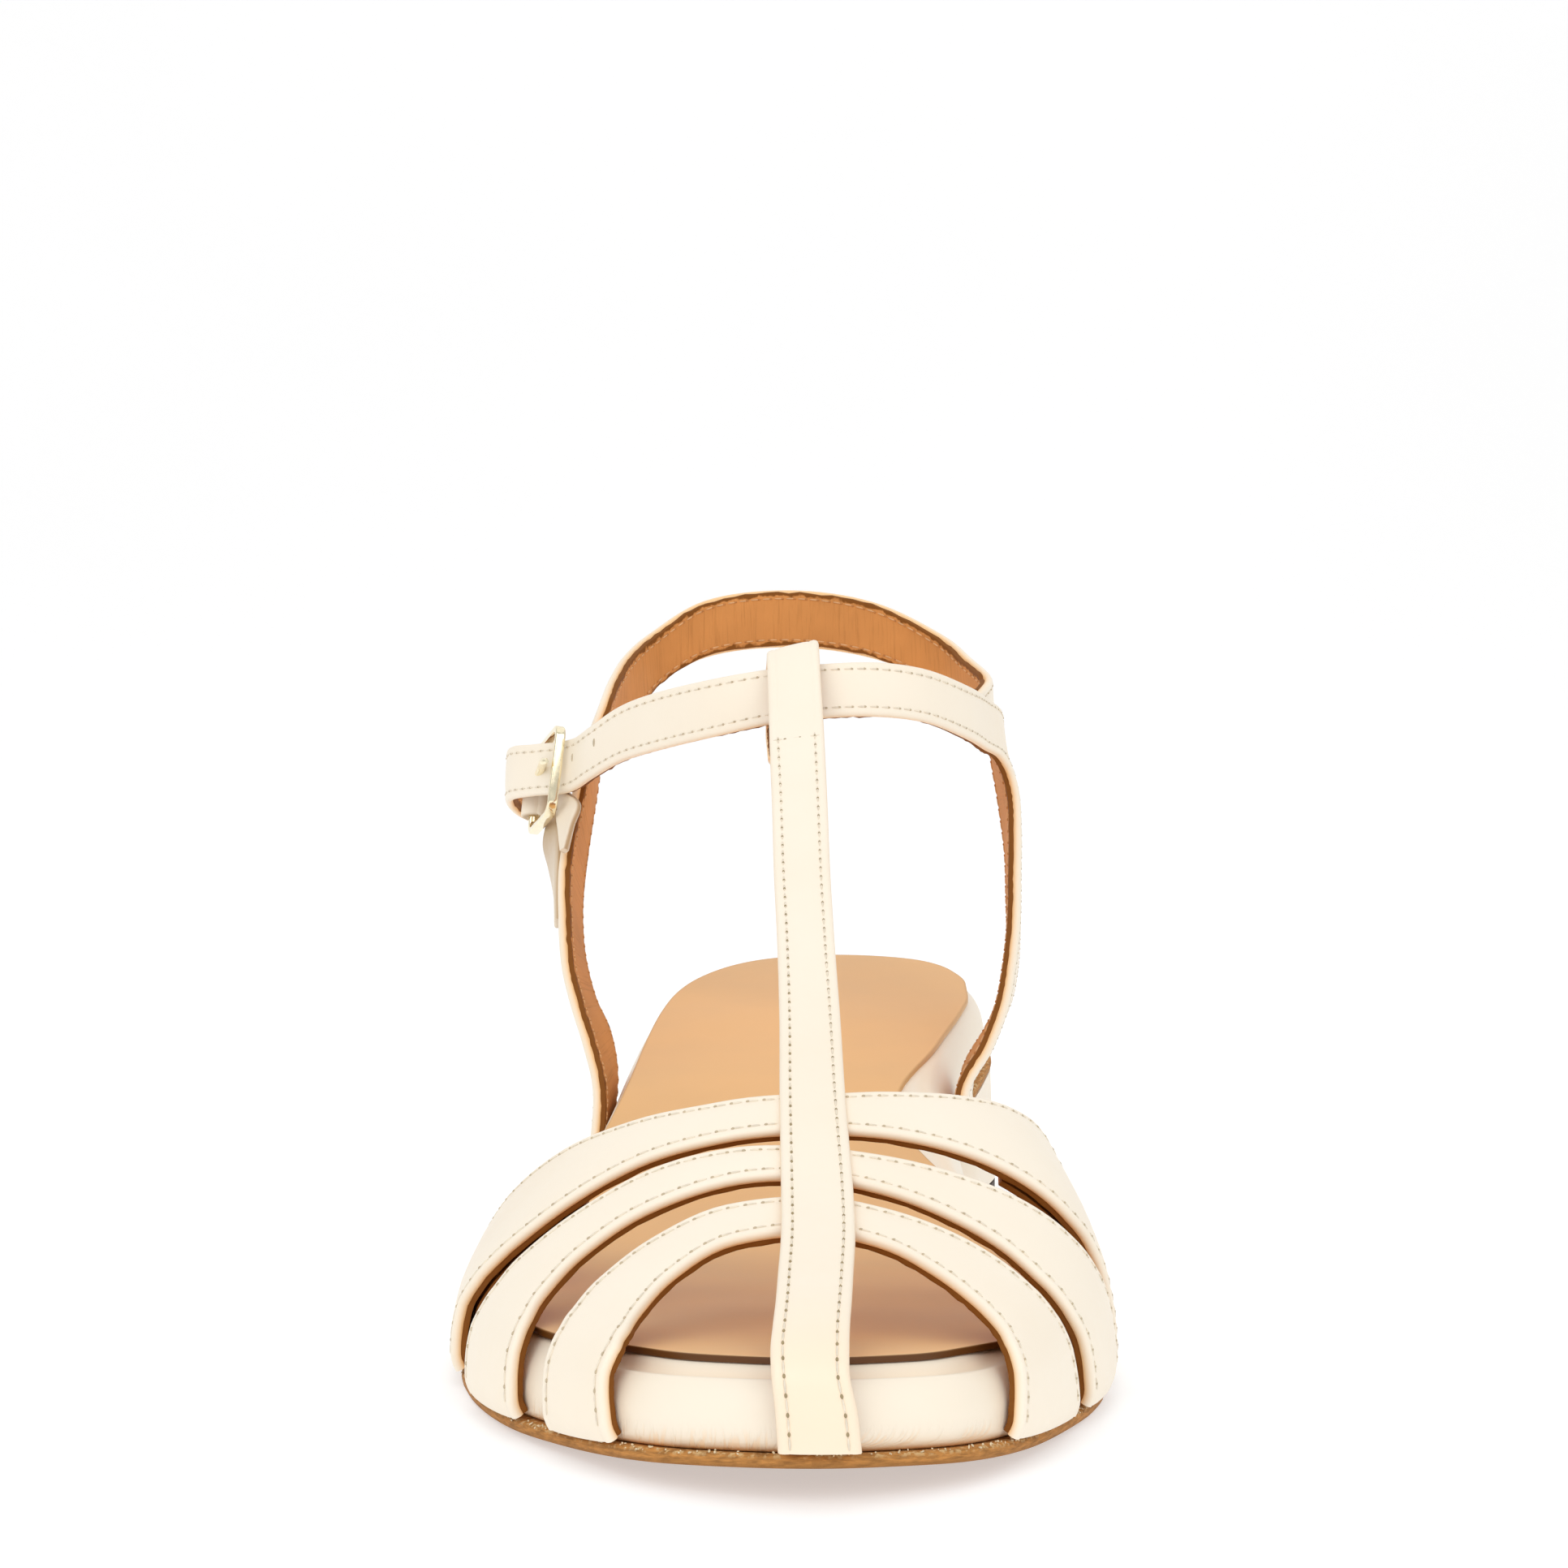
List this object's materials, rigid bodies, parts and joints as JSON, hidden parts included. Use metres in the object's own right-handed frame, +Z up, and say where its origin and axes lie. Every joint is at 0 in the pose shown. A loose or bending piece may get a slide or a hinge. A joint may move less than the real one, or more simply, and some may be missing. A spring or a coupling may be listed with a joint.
{
  "type": "caged sandal",
  "caption": "Women's right caged sandal: cream leather T-bar with cross straps, ankle strap with buckle, sling back, padded footbed and low block heel.",
  "frame": {"origin": "centre of the overall box in plan, on the floor", "axes": "+Z up; toe towards -Y and heel towards +Y; inner (medial) side towards +X"},
  "size_m": [0.0922, 0.2392, 0.1071],
  "materials": {
    "cream_leather": "smooth, semi-matt",
    "tan_leather": "smooth, slight gloss",
    "outsole_edge": "matt, fibrous edge",
    "lift_rubber": "matt",
    "buckle_metal": "polished pale gold"
  },
  "bodies": {
    "root": {"outsole": "outsole_edge", "footbed": "cream_leather", "sock_lining": "tan_leather", "heel_block": "cream_leather", "heel_lift": "lift_rubber", "cage_upper": "cream_leather", "ankle_strap": "cream_leather", "sling_strap": "cream_leather", "buckle_tab": "cream_leather", "buckle_frame": "buckle_metal", "buckle_prong": "buckle_metal"}
  },
  "joints": []
}
